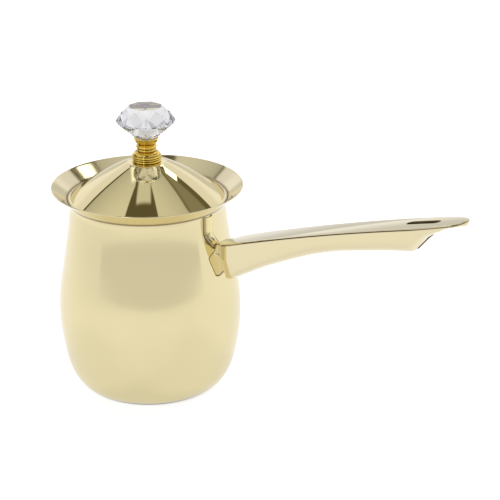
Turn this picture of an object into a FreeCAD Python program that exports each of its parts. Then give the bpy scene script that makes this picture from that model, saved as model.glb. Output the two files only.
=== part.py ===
import FreeCAD, Part
import math
import os

import Sketcher

# Small long-handled coffee pot with a loose conical lid and a cut-crystal knob.
# Millimetres, +Z up. Origin: centre of the base, on the table.
# +X runs along the handle. The pot, the lid and the knob are turned about Z,
# and the handle and its bracket are mirrored in the XZ plane.

doc = FreeCAD.newDocument("coffee_pot")
sheet = doc.addObject("Spreadsheet::Sheet", "Dims")
V = FreeCAD.Vector
known = {}


def dim(alias, value, note=""):
    """One driving dimension: a plain number in the sheet, with an alias."""
    if alias in known:
        raise RuntimeError("dimension given twice: " + alias)
    row = len(known) + 1
    sheet.set("A%d" % row, note or alias.replace("_", " "))
    sheet.set("B%d" % row, "%.4f" % value)
    sheet.setAlias("B%d" % row, alias)
    known[alias] = round(float(value), 4)
    return alias


def plane_of(body, role):
    for feature in body.Origin.OriginFeatures:
        if feature.Role == role:
            return feature
    raise RuntimeError("no plane " + role)


def new_sketch(body, name, role):
    sk = body.newObject("Sketcher::SketchObject", name)
    sk.AttachmentSupport = [(plane_of(body, role), "")]
    sk.MapMode = "FlatFace"
    return sk


def radius_of(a, b, c):
    """Radius of the circle through three points of the plane."""
    ab = math.dist(a, b)
    bc = math.dist(b, c)
    ca = math.dist(c, a)
    area2 = abs((b[0] - a[0]) * (c[1] - a[1]) - (b[1] - a[1]) * (c[0] - a[0]))
    return ab * bc * ca / (2.0 * area2)


def outline(sk, prefix, points, names=None):
    """A closed outline. Each point is (x, y, mid): mid is a point on the arc that
    runs on to the next point, or None for a straight run. Every corner and every
    arc radius is held by a cell of the sheet."""
    names = names or {}
    count = len(points)
    runs = []
    for i, (x, y, mid) in enumerate(points):
        x2, y2 = points[(i + 1) % count][:2]
        a, b = V(x, y, 0), V(x2, y2, 0)
        if mid is None:
            geo = sk.addGeometry(Part.LineSegment(a, b), False)
            ends = (1, 2)
        else:
            geo = sk.addGeometry(Part.Arc(a, V(mid[0], mid[1], 0), b), False)
            ends = (1, 2) if (sk.getPoint(geo, 1) - a).Length < 1e-4 else (2, 1)
        runs.append((geo, ends))
    held = []
    cells = []
    for i in range(count):
        geo, ends = runs[i]
        before, before_ends = runs[i - 1]
        held.append(
            Sketcher.Constraint("Coincident", before, before_ends[1], geo, ends[0])
        )
    for i, (x, y, mid) in enumerate(points):
        geo, ends = runs[i]
        for kind, letter, value, axis in (
            ("DistanceX", "x", x, -2),
            ("DistanceY", "y", y, -1),
        ):
            if abs(value) < 1e-9:
                held.append(Sketcher.Constraint("PointOnObject", geo, ends[0], axis))
                continue
            alias = names.get((i, letter))
            if alias is None:
                alias = dim("%s_%s%02d" % (prefix, letter, i), value)
            elif alias not in known:
                dim(alias, value)
            cells.append((len(held), alias))
            held.append(Sketcher.Constraint(kind, -1, 1, geo, ends[0], known[alias]))
        if mid is not None:
            nxt = points[(i + 1) % count][:2]
            alias = dim("%s_bend%02d" % (prefix, i), radius_of((x, y), mid, nxt))
            cells.append((len(held), alias))
            held.append(Sketcher.Constraint("Radius", geo, known[alias]))
    first = sk.ConstraintCount
    sk.addConstraint(held)
    for at, alias in cells:
        sk.setExpression("Constraints[%d]" % (first + at), "Dims." + alias)


def new_body(name, label=None):
    body = doc.addObject("PartDesign::Body", name)
    if label:
        body.Label = label
    return body


def turned(name, prefix, points, names=None, label=None):
    """A piece turned about Z from an outline in the XZ plane."""
    body = new_body(name, label)
    sk = new_sketch(body, name + "Profile", "XZ_Plane")
    outline(sk, prefix, points, names)
    turn = body.newObject("PartDesign::Revolution", name + "Turn")
    turn.Profile = sk
    turn.ReferenceAxis = (sk, ["V_Axis"])
    turn.Angle = 360.0
    body.Tip = turn
    return body


def padded(body, name, sk, alias, symmetric):
    """A straight extrusion of a sketch, its length held by a cell."""
    pad = body.newObject("PartDesign::Pad", name)
    pad.Profile = sk
    pad.setExpression("Length", "Dims." + alias)
    if symmetric:
        pad.SideType = "Symmetric"
    body.Tip = pad
    return pad


def cut_through(body, name, sk, alias):
    """A pocket on both sides of the sketch plane, checked by volume."""
    doc.recompute()
    before = body.Shape.Volume
    pocket = body.newObject("PartDesign::Pocket", name)
    pocket.Profile = sk
    pocket.SideType = "Symmetric"
    pocket.setExpression("Length", "Dims." + alias)
    body.Tip = pocket
    doc.recompute()
    if not body.Shape.Volume < before - 0.5:
        raise RuntimeError(
            "%s cut nothing: %s, %.2f then %.2f"
            % (name, pocket.State, before, body.Shape.Volume)
        )
    return pocket


def mirrored_outline(half):
    """Both halves of an outline that starts and ends on the X axis. half runs from
    the low-x end to the high-x end with y >= 0."""
    full = [(x, -y, None if m is None else (m[0], -m[1])) for x, y, m in half]
    back = []
    for i in range(len(half) - 1, -1, -1):
        x, y, _ = half[i]
        m = half[i - 1][2] if i else None
        back.append((x, y, m))
    out = full + back
    clean = []
    for x, y, m in out:
        if clean and abs(clean[-1][0] - x) < 1e-9 and abs(clean[-1][1] - y) < 1e-9:
            clean[-1] = (x, y, m)
        else:
            clean.append((x, y, m))
    if abs(clean[0][0] - clean[-1][0]) < 1e-9 and abs(clean[0][1] - clean[-1][1]) < 1e-9:
        clean.pop()
    return clean


# ---------------------------------------------------------------- pot body
# One spun sheet, 0.6 mm: flat base, round belly, drawn-in neck, flared mouth.
outer = [
    ((32.498, 0.000), (34.779, 0.279)),
    ((36.882, 1.200), (38.677, 2.728)),
    ((40.157, 4.594), (42.197, 8.164)),
    ((43.674, 12.004), (45.377, 18.945)),
    ((46.558, 25.997), (47.382, 33.475)),
    ((47.662, 40.993), (47.367, 48.510)),
    ((46.491, 56.002), None),
    ((43.315, 75.004), (42.084, 82.487)),
    ((40.992, 89.992), (40.575, 93.711)),
    ((40.245, 97.459), (40.717, 100.287)),
    ((42.448, 102.574), None),
    ((49.000, 107.880), (48.975, 108.246)),
]
inner = [
    ((32.488, 0.600), (34.626, 0.859)),
    ((36.559, 1.706), (38.237, 3.136)),
    ((39.665, 4.937), (41.653, 8.417)),
    ((43.102, 12.185), (44.788, 19.060)),
    ((45.964, 26.081), (46.784, 33.520)),
    ((47.062, 40.992), (46.768, 48.463)),
    ((45.898, 55.914), None),
    ((42.723, 74.906), (41.491, 82.391)),
    ((40.396, 89.918), (39.978, 93.652)),
    ((39.646, 97.423), (40.166, 100.525)),
    ((42.062, 103.034), None),
    ((48.622, 108.346), None),
]
profile = [(0.0, 0.0, None)]
profile += [(p[0], p[1], m) for p, m in outer]
for i in range(len(inner) - 1, -1, -1):
    profile.append((inner[i][0][0], inner[i][0][1], inner[i - 1][1] if i else None))
profile.append((0.0, 0.600, None))
turned(
    "PotBody",
    "pot",
    profile,
    {
        (1, "x"): "base_radius",
        (6, "x"): "belly_radius",
        (6, "y"): "belly_height",
        (10, "x"): "neck_radius",
        (10, "y"): "neck_height",
        (12, "x"): "rim_radius",
        (12, "y"): "rim_height",
    },
    "pot_body",
)

# ---------------------------------------------------------------- lid
# One spun sheet, 0.5 mm: land for the knob, domed cone, narrow brim that lies in
# the flare of the mouth with its edge cut to the same slope, screw hole in the middle.
lid = [
    (2.300, 121.000, None),
    (9.600, 121.000, (10.130, 120.900)),
    (10.620, 120.640, (25.575, 112.542)),
    (39.300, 102.500, (39.580, 102.320)),
    (39.900, 102.250, None),
    (41.050, 102.250, None),
    (40.650, 101.750, None),
    (39.850, 101.750, (39.380, 101.850)),
    (38.978, 102.117, (25.307, 112.119)),
    (10.412, 120.185, (10.030, 120.420)),
    (9.550, 120.500, None),
    (2.300, 120.500, None),
]
turned(
    "LidShell",
    "lid",
    lid,
    {(0, "x"): "lid_hole_radius", (0, "y"): "lid_land_height", (5, "x"): "lid_radius"},
    "lid_shell",
)

# ---------------------------------------------------------------- knob stem
# Turned and plated base of the knob: base ring, domed foot, waist with two beads,
# and a shallow cup on top for the crystal. Blind M4 hole from below.
stem = [
    (2.000, 121.100, None),
    (7.000, 121.100, (7.400, 121.650)),
    (7.150, 122.200, None),
    (6.950, 122.400, (7.620, 123.250)),
    (7.300, 124.400, (6.500, 125.650)),
    (5.150, 126.450, None),
    (4.700, 126.650, (4.980, 127.200)),
    (4.700, 127.750, None),
    (4.600, 127.950, (5.280, 128.900)),
    (4.600, 129.850, None),
    (4.350, 130.150, None),
    (4.450, 130.450, (5.620, 131.500)),
    (6.120, 132.900, None),
    (6.250, 133.300, (6.120, 133.520)),
    (5.880, 133.480, None),
    (4.800, 132.350, None),
    (0.000, 132.350, None),
    (0.000, 129.500, None),
    (2.000, 129.500, None),
]
turned(
    "KnobStem",
    "stem",
    stem,
    {(0, "x"): "stem_hole_radius", (0, "y"): "stem_foot_height"},
    "knob_stem",
)

# ---------------------------------------------------------------- knob crystal
# Cut clear crystal: eight-sided table, eight kites, eight stars, sixteen girdle
# facets above and below, eight long facets down to a flat foot in the cup.
dim("crystal_radius", 15.0, "girdle radius of the crystal")
dim("crystal_table_radius", 8.6, "corner radius of the table")
dim("crystal_table_height", 149.8, "height of the table")
dim("crystal_girdle_top", 142.7, "upper edge of the girdle")
dim("crystal_girdle_low", 142.0, "lower edge of the girdle")
dim("crystal_star_radius", 12.3, "where star, kite and girdle facets meet")
dim("crystal_foot_radius", 4.4, "corner radius of the foot")
dim("crystal_foot_height", 132.5, "height of the foot")
dim("crystal_low_radius", 9.4, "where the lower facets meet")
dim("crystal_turn", 22.5, "turn of the first table corner from +X, degrees")
doc.recompute()


def crystal_shape():
    r = {k: float(sheet.get(k)) for k in known if k.startswith("crystal")}
    turn = math.radians(r["crystal_turn"])
    c = math.cos(math.pi / 8)

    def at(radius, eighth, z):
        a = turn + eighth * math.pi / 4
        return V(radius * math.cos(a), radius * math.sin(a), z)

    rt, zt = r["crystal_table_radius"], r["crystal_table_height"]
    rg, zu, zl = r["crystal_radius"], r["crystal_girdle_top"], r["crystal_girdle_low"]
    rm = r["crystal_star_radius"]
    zm = zt + (zu - zt) * (rm * c - rt) / (rg - rt)
    rf, zf = r["crystal_foot_radius"], r["crystal_foot_height"]
    rn = r["crystal_low_radius"]
    zn = zf + (zl - zf) * (rn * c - rf) / (rg - rf)
    faces = []

    def face(*pts):
        faces.append(Part.Face(Part.makePolygon(list(pts) + [pts[0]])))

    face(*[at(rt, k, zt) for k in range(8)])
    face(*[at(rf, -k, zf) for k in range(8)])
    for k in range(8):
        star = at(rm, k + 0.5, zm)
        star_before = at(rm, k - 0.5, zm)
        low = at(rn, k + 0.5, zn)
        low_before = at(rn, k - 0.5, zn)
        face(at(rt, k, zt), star, at(rt, k + 1, zt))
        face(at(rt, k, zt), star_before, at(rg, k, zu), star)
        face(star, at(rg, k, zu), at(rg, k + 0.5, zu))
        face(star, at(rg, k + 0.5, zu), at(rg, k + 1, zu))
        for j in (0.0, 0.5):
            face(
                at(rg, k + j, zu),
                at(rg, k + j, zl),
                at(rg, k + j + 0.5, zl),
                at(rg, k + j + 0.5, zu),
            )
        face(low, at(rg, k + 0.5, zl), at(rg, k, zl))
        face(low, at(rg, k + 1, zl), at(rg, k + 0.5, zl))
        face(at(rf, k, zf), low, at(rg, k, zl), low_before)
        face(at(rf, k, zf), at(rf, k + 1, zf), low)
    solid = Part.Solid(Part.Shell(faces))
    if solid.Volume < 0:
        solid.reverse()
    return solid


crystal = doc.addObject("Part::Feature", "KnobCrystal")
crystal.Label = "knob_crystal"
crystal.Shape = crystal_shape()
crystal.Placement = FreeCAD.Placement()

# ---------------------------------------------------------------- knob screw
# M4 pan-head machine screw from under the lid, cross recess in the head.
turned(
    "KnobScrew",
    "screw",
    [
        (0.0, 117.200, None),
        (3.000, 117.200, (3.750, 117.500)),
        (4.000, 118.250, None),
        (4.000, 119.600, None),
        (1.950, 119.600, None),
        (1.950, 128.300, None),
        (1.500, 128.800, None),
        (0.0, 128.800, None),
    ],
    {(3, "x"): "screw_head_radius", (4, "x"): "screw_shank_radius"},
    "knob_screw",
)
screw = doc.getObject("KnobScrew")
dim("recess_width", 1.0, "width of the cross recess")
dim("recess_length", 4.4, "length of the cross recess")
dim("recess_depth_twice", 237.0, "twice the height that the recess reaches")
half_w, half_l = 0.5, 2.2
sk = new_sketch(screw, "ScrewRecess", "XY_Plane")
outline(
    sk,
    "recess",
    [
        (-half_l, -half_w, None),
        (-half_w, -half_w, None),
        (-half_w, -half_l, None),
        (half_w, -half_l, None),
        (half_w, -half_w, None),
        (half_l, -half_w, None),
        (half_l, half_w, None),
        (half_w, half_w, None),
        (half_w, half_l, None),
        (-half_w, half_l, None),
        (-half_w, half_w, None),
        (-half_l, half_w, None),
    ],
)
cut_through(screw, "ScrewRecessCut", sk, "recess_depth_twice")

# ---------------------------------------------------------------- knob washer
dim("washer_radius", 4.5, "outer radius of the washer")
dim("washer_hole", 2.15, "hole radius of the washer")
dim("washer_thick", 0.8, "thickness of the washer")
dim("washer_low", 119.6, "underside of the washer")
disc = doc.addObject("Part::Cylinder", "WasherDisc")
disc.setExpression("Radius", "Dims.washer_radius")
disc.setExpression("Height", "Dims.washer_thick")
disc.setExpression("Placement.Base.z", "Dims.washer_low")
hole = doc.addObject("Part::Cylinder", "WasherHole")
hole.setExpression("Radius", "Dims.washer_hole")
hole.setExpression("Height", "Dims.washer_thick * 3")
hole.setExpression("Placement.Base.z", "Dims.washer_low - Dims.washer_thick")
washer = doc.addObject("Part::Cut", "KnobWasher")
washer.Label = "knob_washer"
washer.Base = disc
washer.Tool = hole


# ---------------------------------------------------------------- handle
# One stamped sheet, 0.8 mm. The back is a long shallow arch; the sides are deep at
# the pot, roll in under the handle and leave a narrow seam between them. At the tip
# the underside rises steeply to the back and the two are pressed into a rounded tongue.
def back(s):
    """Height of the handle's back over the distance s from the pot's axis."""
    return 70.0055 + 0.409751 * s - 0.000381808 * s * s


SHEET = 0.8
dim("handle_block", 26.0, "width of the side prisms, wider than the handle")
dim("handle_tall", 160.0, "height of the plan prisms")

side = [
    (50.900, 95.350, None),
    (193.000, 141.000, None),
    (193.000, 122.000, None),
    (164.500, 110.000, None),
    (140.000, 104.500, None),
    (110.000, 94.500, None),
    (80.000, 79.500, None),
    (66.000, 72.500, None),
    (60.000, 72.500, None),
    (58.500, 75.700, None),
    (55.500, 76.000, None),
    (53.000, 73.200, None),
    (50.400, 72.700, None),
    (46.000, 79.900, None),
    (46.000, 81.300, None),
    (49.600, 85.900, None),
]
arch = [
    (40.000, back(40.0), (117.50, back(117.5))),
    (195.000, back(195.0), None),
    (195.000, 60.000, None),
    (40.000, 60.000, None),
]


def plan_of(d, start):
    """Half of the handle seen from above, d inside its outer face: a narrow root, a
    shoulder of a tight and a wide bend, straight sides and a rounded tip. All runs
    meet tangentially."""
    r1, r2 = 2.5, 12.0
    a = math.acos(1.0 - 5.0 / (r1 + r2))
    bend_at = 52.3 + (r1 + r2) * math.sin(a)
    b = math.atan2(18.0, 80.0)
    r3, r4 = 90.0, 8.0

    def root(t):
        return (52.3 + (r1 + d) * math.sin(t), 5.0 + r1 - (r1 + d) * math.cos(t))

    def shoulder(t):
        return (bend_at - (r2 - d) * math.sin(t), 10.0 - r2 + (r2 - d) * math.cos(t))

    def flank(t):
        return (164.0 + (r3 - d) * math.sin(t), 10.0 - r3 + (r3 - d) * math.cos(t))

    def tip(t):
        return (182.0 + (r4 - d) * math.sin(t), (r4 - d) * math.cos(t))

    return [
        (start, 5.0 - d, None),
        root(0.0) + (root(a / 2),),
        root(a) + (shoulder(a / 2),),
        shoulder(0.0) + (None,),
        flank(0.0) + (flank(b / 2),),
        flank(b) + (tip(b / 2 + math.pi / 4),),
        (190.0 - d, 0.0, None),
    ]


side_in = [
    (40.000, back(40.0) - 0.85, (109.50, back(109.5) - 0.85)),
    (179.000, back(179.0) - 0.85, None),
    (179.000, 60.000, None),
    (40.000, 60.000, None),
]


def prism(name, role, prefix, points, alias, symmetric, names=None):
    body = new_body(name)
    sk = new_sketch(body, name + "Outline", role)
    outline(sk, prefix, points, names)
    padded(body, name + "Pad", sk, alias, symmetric)
    return body


handle_side = prism(
    "HandleSide",
    "XZ_Plane",
    "grip",
    side,
    "handle_block",
    True,
)
handle_arch = prism("HandleArch", "XZ_Plane", "arch", arch, "handle_block", True)
handle_plan = prism(
    "HandlePlan", "XY_Plane", "plan", mirrored_outline(plan_of(0.0, 39.0)), "handle_tall", False
)
hollow_side = prism(
    "HollowSide", "XZ_Plane", "hollow", side_in, "handle_block", True
)
hollow_plan = prism(
    "HollowPlan", "XY_Plane", "room", mirrored_outline(plan_of(SHEET, 38.5)), "handle_tall", False
)

outside = doc.addObject("Part::Common", "HandleOutside")
outside.Base = handle_arch
outside.Tool = handle_plan
inside = doc.addObject("Part::Common", "HandleInside")
inside.Base = hollow_side
inside.Tool = hollow_plan
doc.recompute()


def back_edges(shape, drop):
    """Numbers of the long edges of the back: those along the plan outline."""
    found = []
    for n, edge in enumerate(shape.Edges, 1):
        mid = edge.valueAt((edge.FirstParameter + edge.LastParameter) / 2)
        ends = [v.Point for v in edge.Vertexes]
        on_back = all(abs(p.z - (back(p.x) - drop)) < 0.12 for p in ends + [mid])
        if on_back and abs(mid.y) > 2.0 and mid.x > 50.0:
            found.append(n)
    return found


def rounded(name, base, radius, drop, alias):
    """The base with the edges of its back rounded."""
    edges = back_edges(base.Shape, drop)
    made = doc.addObject("Part::Fillet", name)
    made.Base = base
    made.Edges = [(n, radius, radius) for n in edges]
    doc.recompute()
    return made


dim("handle_edge_round", 1.8, "outer bend of the handle's sheet")
dim("handle_inner_round", 1.0, "inner bend of the handle's sheet")
outside_round = rounded(
    "HandleOutsideRound", outside, known["handle_edge_round"], 0.0, "handle_edge_round"
)
inside_round = rounded(
    "HandleInsideRound", inside, known["handle_inner_round"], 0.85, "handle_inner_round"
)

# The underside: cross-sections of a trough along the handle, (distance from the
# pot's axis, lowest height, height of the roll).
trough = [
    (40.0, 62.2, 2.8),
    (55.0, 70.48, 3.2),
    (62.0, 73.98, 3.4),
    (70.0, 78.58, 3.8),
    (80.0, 84.37, 4.4),
    (95.0, 91.88, 5.2),
    (110.0, 98.79, 6.0),
    (125.0, 104.27, 6.6),
    (140.0, 108.34, 7.4),
    (155.0, 112.12, 8.0),
    (163.5, 113.99, 8.0),
    (165.0, 114.39, 7.8),
    (167.0, 116.68, 6.8),
    (169.0, 119.05, 6.2),
    (171.0, 121.39, 5.2),
    (173.5, 123.84, 3.6),
    (176.5, 125.70, 2.6),
    (180.0, 127.71, 1.7),
    (184.0, 130.35, 1.3),
    (195.0, 132.81, 1.3),
]


def trough_of(name, prefix, d):
    """The trough as one loft, d inside its outer face."""
    body = new_body(name)
    sections = []
    for n, (s, low, roll) in enumerate(trough):
        sk = new_sketch(body, "%sSection%02d" % (name, n), "YZ_Plane")
        sk.AttachmentOffset = FreeCAD.Placement(V(0, 0, s), FreeCAD.Rotation())
        wide, flat = 10.4 - d, 1.4
        low = low + d
        half = math.sqrt(0.5)
        bend = (flat + (wide - flat) * half, low + (roll - d) * (1.0 - half))
        top = low + (roll - d)
        outline(
            sk,
            "%s%02d" % (prefix, n),
            [
                (-flat, low, None),
                (flat, low, bend),
                (wide, top, None),
                (wide, 150.0, None),
                (-wide, 150.0, None),
                (-wide, top, (-bend[0], bend[1])),
            ],
        )
        sections.append(sk)
    loft = body.newObject("PartDesign::AdditiveLoft", name + "Loft")
    loft.Profile = sections[0]
    loft.Sections = sections[1:]
    loft.Ruled = True
    body.Tip = loft
    doc.recompute()
    return body


trough_out = trough_of("HandleTrough", "trough", 0.0)
trough_in = trough_of("HollowTrough", "belly", SHEET)
rolled = doc.addObject("Part::Common", "HandleRolled")
rolled.Base = outside_round
rolled.Tool = trough_out
hollow = doc.addObject("Part::Common", "HandleHollow")
hollow.Base = inside_round
hollow.Tool = trough_in
trimmed = doc.addObject("Part::Common", "HandleTrimmed")
trimmed.Base = rolled
trimmed.Tool = handle_side

# Seam between the rolled-in edges.
dim("seam_width", 2.8, "gap between the rolled-in edges")
seam_body = new_body("HandleSeam")
sk = new_sketch(seam_body, "HandleSeamOutline", "XZ_Plane")
outline(
    sk,
    "seam",
    [
        (40.0, 58.0, None),
        (164.0, 104.0, None),
        (177.5, 116.0, None),
        (177.5, 128.0, None),
        (173.5, 125.8, None),
        (169.0, 121.6, None),
        (165.0, 117.2, None),
        (155.0, 114.4, None),
        (125.0, 106.4, None),
        (95.0, 94.0, None),
        (70.0, 80.8, None),
        (40.0, 64.4, None),
    ],
)
padded(seam_body, "HandleSeamPad", sk, "seam_width", True)

# Hanging slot through the back, and through the underside where that has risen to it.
dim("slot_start", 162.0, "first centre of the hanging slot")
dim("slot_end", 174.1, "second centre of the hanging slot")
dim("slot_radius", 2.5, "end radius of the hanging slot")
slot_body = new_body("HangSlot")
sk = new_sketch(slot_body, "HangSlotOutline", "XY_Plane")
sk.AttachmentOffset = FreeCAD.Placement(V(0, 0, 121.5), FreeCAD.Rotation())
r_slot, s_a, s_b = known["slot_radius"], known["slot_start"], known["slot_end"]
near = sk.addGeometry(Part.LineSegment(V(s_a, -r_slot, 0), V(s_b, -r_slot, 0)), False)
end_b = sk.addGeometry(
    Part.ArcOfCircle(Part.Circle(V(s_b, 0, 0), V(0, 0, 1), r_slot), -math.pi / 2, math.pi / 2),
    False,
)
far = sk.addGeometry(Part.LineSegment(V(s_b, r_slot, 0), V(s_a, r_slot, 0)), False)
end_a = sk.addGeometry(
    Part.ArcOfCircle(Part.Circle(V(s_a, 0, 0), V(0, 0, 1), r_slot), math.pi / 2, 1.5 * math.pi),
    False,
)
sk.addConstraint(
    [
        Sketcher.Constraint("Tangent", near, 2, end_b, 1),
        Sketcher.Constraint("Tangent", end_b, 2, far, 1),
        Sketcher.Constraint("Tangent", far, 2, end_a, 1),
        Sketcher.Constraint("Tangent", end_a, 2, near, 1),
        Sketcher.Constraint("Equal", end_a, end_b),
        Sketcher.Constraint("PointOnObject", end_a, 3, -1),
        Sketcher.Constraint("PointOnObject", end_b, 3, -1),
        Sketcher.Constraint("DistanceX", -1, 1, end_a, 3, s_a),
        Sketcher.Constraint("DistanceX", -1, 1, end_b, 3, s_b),
        Sketcher.Constraint("Radius", end_a, r_slot),
    ]
)
sk.setExpression("Constraints[7]", "Dims.slot_start")
sk.setExpression("Constraints[8]", "Dims.slot_end")
sk.setExpression("Constraints[9]", "Dims.slot_radius")
padded(slot_body, "HangSlotPad", sk, "handle_tall", False)
shell = doc.addObject("Part::Cut", "HandleShell")
shell.Base = trimmed
shell.Tool = hollow
slotted = doc.addObject("Part::Cut", "HandleSlotted")
slotted.Base = shell
slotted.Tool = slot_body
handle = doc.addObject("Part::Cut", "Handle")
handle.Label = "handle"
handle.Base = slotted
handle.Tool = seam_body
doc.recompute()

# ---------------------------------------------------------------- handle bracket
# Bent channel welded to the neck. Its rounded ridge drops from under the mouth and
# sweeps out into the handle, where it ends in a flat tongue; its two cheeks stand
# on the wall of the pot.
dim("bracket_width", 8.2, "width over the cheeks")
dim("bracket_room", 6.2, "width between the cheeks")
dim("bracket_round", 2.0, "rounding of the ridge")
dim("tongue_width", 6.0, "width of the tongue in the handle")
bracket = new_body("HandleBracket", "handle_bracket")
sk = new_sketch(bracket, "BracketSide", "XZ_Plane")
outline(
    sk,
    "gusset",
    [
        (41.000, 100.600, None),
        (42.800, 100.600, None),
        (42.800, 93.700, (45.145, 89.195)),
        (50.181, 88.532, None),
        (51.000, 80.200, None),
        (45.900, 80.200, None),
        (43.900, 83.000, None),
        (41.150, 90.400, (40.700, 93.720)),
        (40.350, 97.459, (40.530, 99.150)),
    ],
)
gusset = padded(bracket, "BracketPad", sk, "bracket_width", True)
doc.recompute()
ridge = []
for n, edge in enumerate(bracket.Shape.Edges, 1):
    mid = edge.valueAt((edge.FirstParameter + edge.LastParameter) / 2)
    ends = [v.Point for v in edge.Vertexes]
    along = abs(ends[0].y - ends[1].y) < 1e-6
    on_line = all(abs(p.x - 42.8) < 1e-3 for p in ends + [mid])
    on_bend = all(
        abs(math.hypot(p.x - 48.3, p.z - 93.7) - 5.5) < 2e-2 for p in ends + [mid]
    )
    if along and (on_line or on_bend):
        ridge.append("Edge%d" % n)
if len(ridge) != 4:
    raise RuntimeError("ridge edges: %d" % len(ridge))
soft = bracket.newObject("PartDesign::Fillet", "BracketRidge")
soft.Base = (gusset, ridge)
soft.setExpression("Radius", "Dims.bracket_round")
bracket.Tip = soft
doc.recompute()
sk = new_sketch(bracket, "BracketRoom", "XZ_Plane")
outline(
    sk,
    "channel",
    [
        (38.000, 99.600, None),
        (41.800, 99.600, None),
        (41.800, 93.700, (44.572, 88.376)),
        (48.867, 87.225, None),
        (53.000, 87.300, None),
        (53.000, 78.000, None),
        (38.000, 78.000, None),
    ],
)
cut_through(bracket, "BracketChannel", sk, "bracket_room")
sk = new_sketch(bracket, "BracketTongue", "XZ_Plane")
outline(
    sk,
    "tongue",
    [
        (48.900, 88.050, None),
        (50.181, 88.450, (65.000, back(65.0) - 1.05)),
        (80.000, back(80.0) - 1.05, None),
        (80.400, back(80.0) - 2.18, (65.200, back(65.2) - 2.28)),
        (50.500, 87.300, None),
        (48.900, 87.350, None),
    ],
)
padded(bracket, "BracketTonguePad", sk, "tongue_width", True)

# ---------------------------------------------------------------- checks and files
doc.recompute()
for obj in doc.Objects:
    state = [str(x) for x in obj.State]
    if "Invalid" in state or "Error" in state:
        raise RuntimeError("%s failed: %s" % (obj.Name, state))

nodes = [
    doc.getObject("PotBody"),
    bracket,
    handle,
    doc.getObject("LidShell"),
    doc.getObject("KnobStem"),
    crystal,
    screw,
    washer,
]
for obj in nodes:
    shape = obj.Shape
    if shape.isNull() or not shape.isValid():
        raise RuntimeError("bad shape: " + obj.Label)
    if len(shape.Solids) != 1:
        raise RuntimeError("%s has %d solids" % (obj.Label, len(shape.Solids)))

os.makedirs("parts", exist_ok=True)
for obj in nodes:
    obj.Shape.exportStep("parts/%s.step" % obj.Label)
    box = obj.Shape.BoundBox
    print(
        "%-16s volume %10.1f  x %7.2f %7.2f  y %7.2f %7.2f  z %7.2f %7.2f"
        % (obj.Label, obj.Shape.Volume, box.XMin, box.XMax, box.YMin, box.YMax, box.ZMin, box.ZMax)
    )
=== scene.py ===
import bpy
import math
import numpy as np
from mathutils import Matrix, Vector


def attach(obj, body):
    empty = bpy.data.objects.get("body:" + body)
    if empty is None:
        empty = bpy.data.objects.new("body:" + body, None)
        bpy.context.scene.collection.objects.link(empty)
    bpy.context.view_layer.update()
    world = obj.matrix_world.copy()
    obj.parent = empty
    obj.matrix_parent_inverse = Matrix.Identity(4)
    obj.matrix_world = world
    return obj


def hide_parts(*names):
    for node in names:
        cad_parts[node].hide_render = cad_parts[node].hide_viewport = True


# Small long-handled coffee pot: satin pot body, polished lid, handle and bracket,
# turned knob stem and a cut-crystal knob. Lengths below are millimetres unless a
# name says otherwise; meshes are written in metres.

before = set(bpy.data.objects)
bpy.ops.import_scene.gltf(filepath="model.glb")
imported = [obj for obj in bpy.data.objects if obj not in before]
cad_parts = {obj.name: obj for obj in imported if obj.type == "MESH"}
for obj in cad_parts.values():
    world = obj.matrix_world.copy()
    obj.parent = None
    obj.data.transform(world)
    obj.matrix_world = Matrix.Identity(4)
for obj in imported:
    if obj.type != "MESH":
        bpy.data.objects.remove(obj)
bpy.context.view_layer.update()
MM = 0.001


# ---------------------------------------------------------------- mesh helpers
def new_object(name, verts, faces, sharp=None):
    mesh = bpy.data.meshes.new(name)
    mesh.from_pydata([(x * MM, y * MM, z * MM) for x, y, z in verts], [], faces)
    mesh.validate()
    mesh.polygons.foreach_set("use_smooth", [True] * len(mesh.polygons))
    mesh.update()
    if sharp is not None:
        mesh.set_sharp_from_angle(angle=math.radians(sharp))
    obj = bpy.data.objects.new(name, mesh)
    bpy.context.scene.collection.objects.link(obj)
    return obj


def bent(points, steps=10):
    """A dense run of points from corners (x, y, mid): mid lies on the arc that runs
    on to the next corner, None is a straight run."""
    out = []
    for i, (x, y, mid) in enumerate(points[:-1]):
        x2, y2 = points[i + 1][:2]
        if mid is None:
            out.append((x, y))
            continue
        (ax, ay), (bx, by), (cx, cy) = (x, y), mid[:2], (x2, y2)
        d = 2 * (ax * (by - cy) + bx * (cy - ay) + cx * (ay - by))
        ux = ((ax**2 + ay**2) * (by - cy) + (bx**2 + by**2) * (cy - ay) + (cx**2 + cy**2) * (ay - by)) / d
        uy = ((ax**2 + ay**2) * (cx - bx) + (bx**2 + by**2) * (ax - cx) + (cx**2 + cy**2) * (bx - ax)) / d
        r = math.hypot(ax - ux, ay - uy)
        a0 = math.atan2(ay - uy, ax - ux)
        a1 = math.atan2(by - uy, bx - ux)
        a2 = math.atan2(cy - uy, cx - ux)
        turn = (a2 - a0) % (2 * math.pi)
        if (a1 - a0) % (2 * math.pi) > turn:
            turn -= 2 * math.pi
        n = mid[2] if len(mid) > 2 else steps
        for k in range(n):
            a = a0 + turn * k / n
            out.append((ux + r * math.cos(a), uy + r * math.sin(a)))
    out.append(tuple(points[-1][:2]))
    return out


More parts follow.
